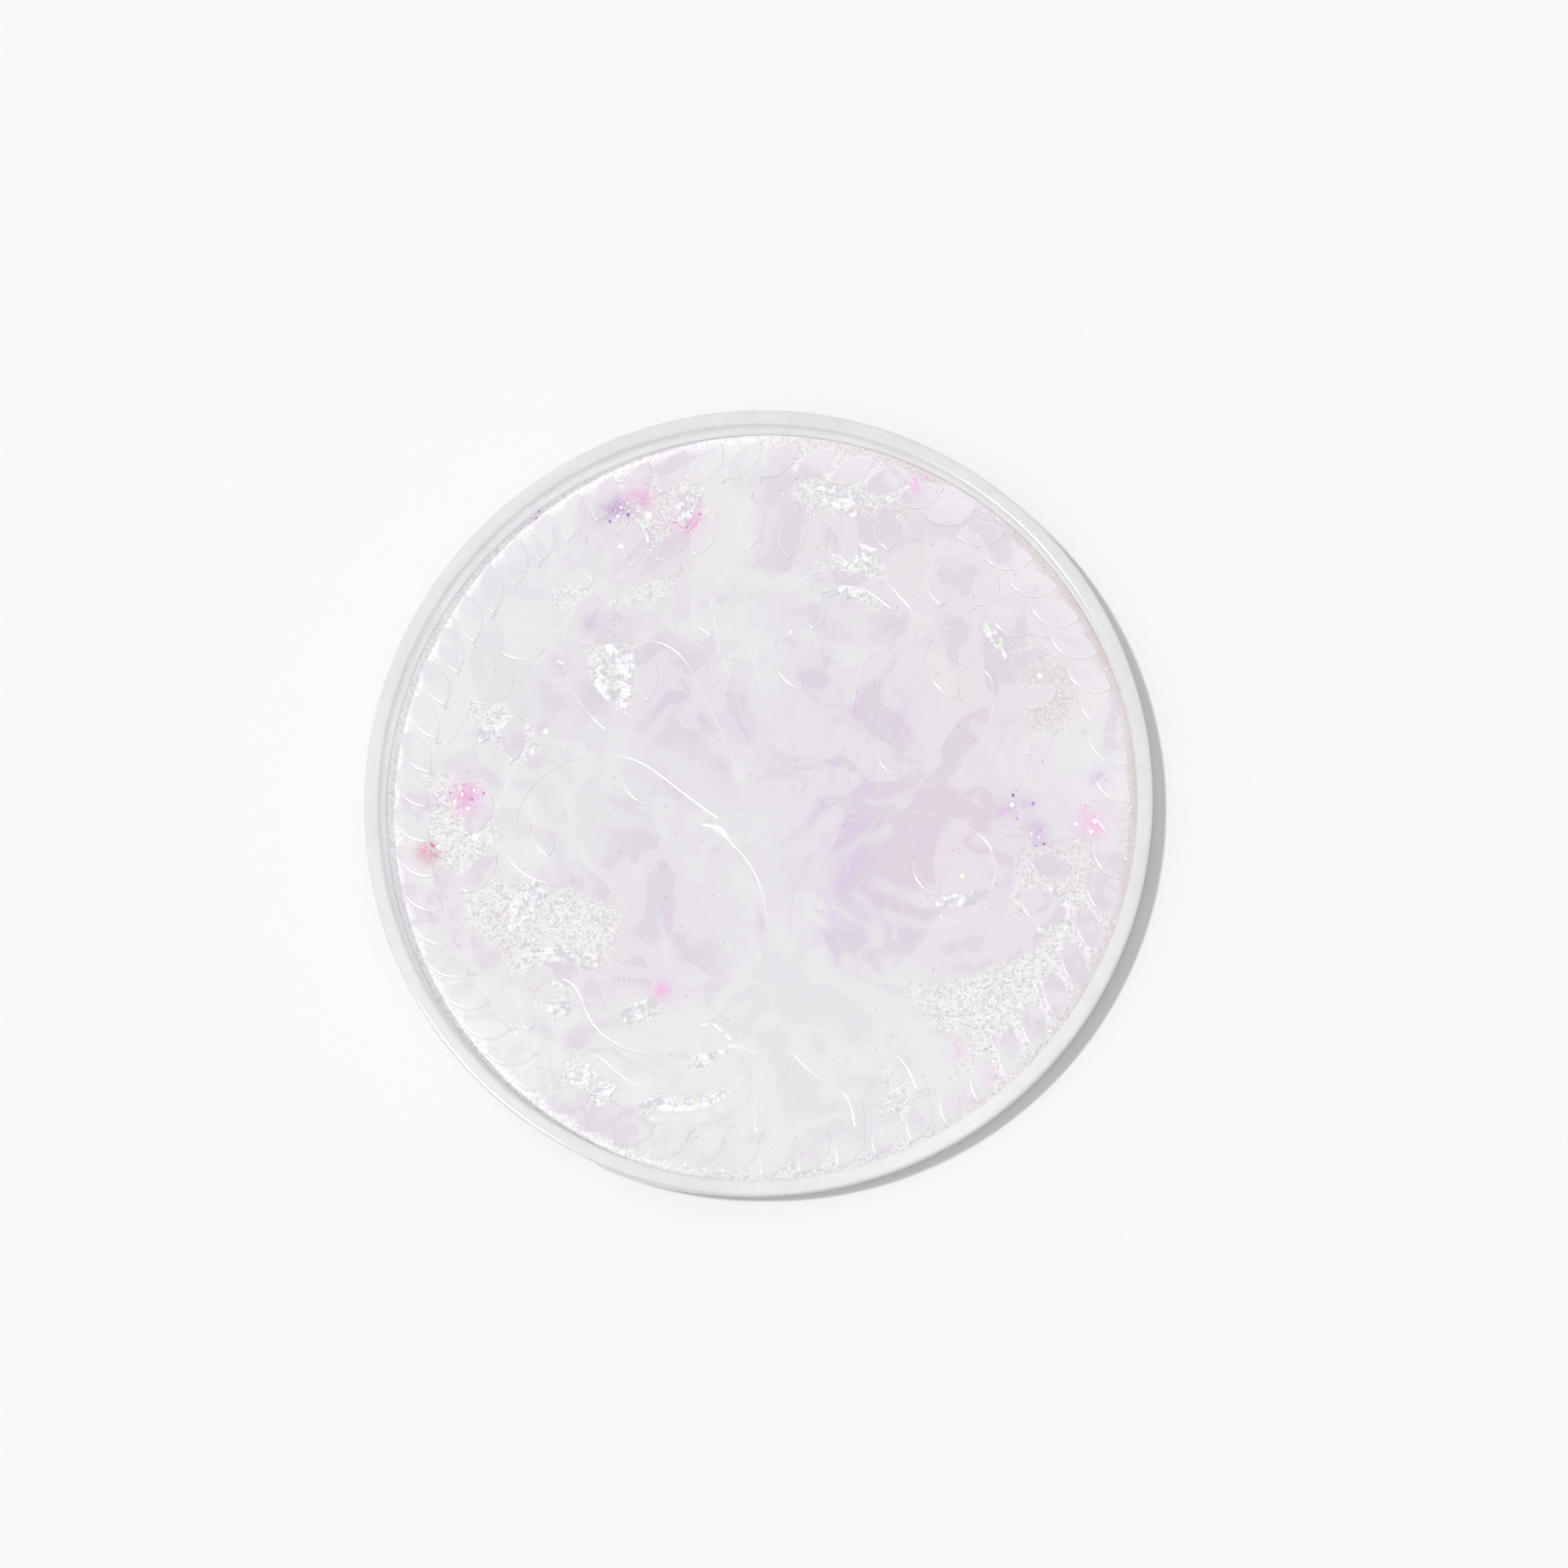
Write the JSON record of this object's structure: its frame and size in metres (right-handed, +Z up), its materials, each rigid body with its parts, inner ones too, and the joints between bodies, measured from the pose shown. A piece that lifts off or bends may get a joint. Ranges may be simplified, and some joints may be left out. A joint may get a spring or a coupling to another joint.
{
  "type": "resin coaster",
  "caption": "Round cast-resin coaster with a thin standing rim, a wreath of leaves and a tree in low relief, with swirls, film and glitter set inside.",
  "frame": {"origin": "centre of the flat underside, on the surface that the coaster stands on", "axes": "+Z up, out of the open recess; +Y towards the top of the tree; +X to the tree's right"},
  "size_m": [0.1, 0.1, 0.009],
  "materials": {
    "clear_resin": "clear cast epoxy, gloss, with fine silver glitter through it",
    "rim_resin": "clear cast epoxy, gloss, faintly hazy, with fine silver glitter",
    "pearl_resin": "milky pearl epoxy, gloss",
    "milk_resin": "white-pigmented epoxy, sealed in the clear body",
    "lilac_resin": "lilac-tinted epoxy, sealed in the clear body",
    "iridescent_film": "crumpled iridescent polyester film",
    "green_pearl_glitter": "pearl polyester hexagons that flash green and gold",
    "violet_glitter": "metallised polyester glitter, violet",
    "magenta_glitter": "metallised polyester glitter, magenta",
    "red_glitter": "metallised polyester glitter, red"
  },
  "bodies": {
    "root": {"clear_body": "clear_resin", "rim_ring": "rim_resin", "wreath_leaves": "pearl_resin", "trunk": "pearl_resin", "branches_left": "pearl_resin", "branches_right": "pearl_resin", "roots_left": "pearl_resin", "roots_right": "pearl_resin", "crown_leaves_left": "pearl_resin", "crown_leaves_right": "pearl_resin", "milk_swirl": "milk_resin", "lilac_swirl": "lilac_resin", "film_flakes": "iridescent_film", "pearl_hexagons": "green_pearl_glitter", "violet_glitter": "violet_glitter", "magenta_glitter": "magenta_glitter", "red_glitter": "red_glitter"}
  },
  "joints": []
}
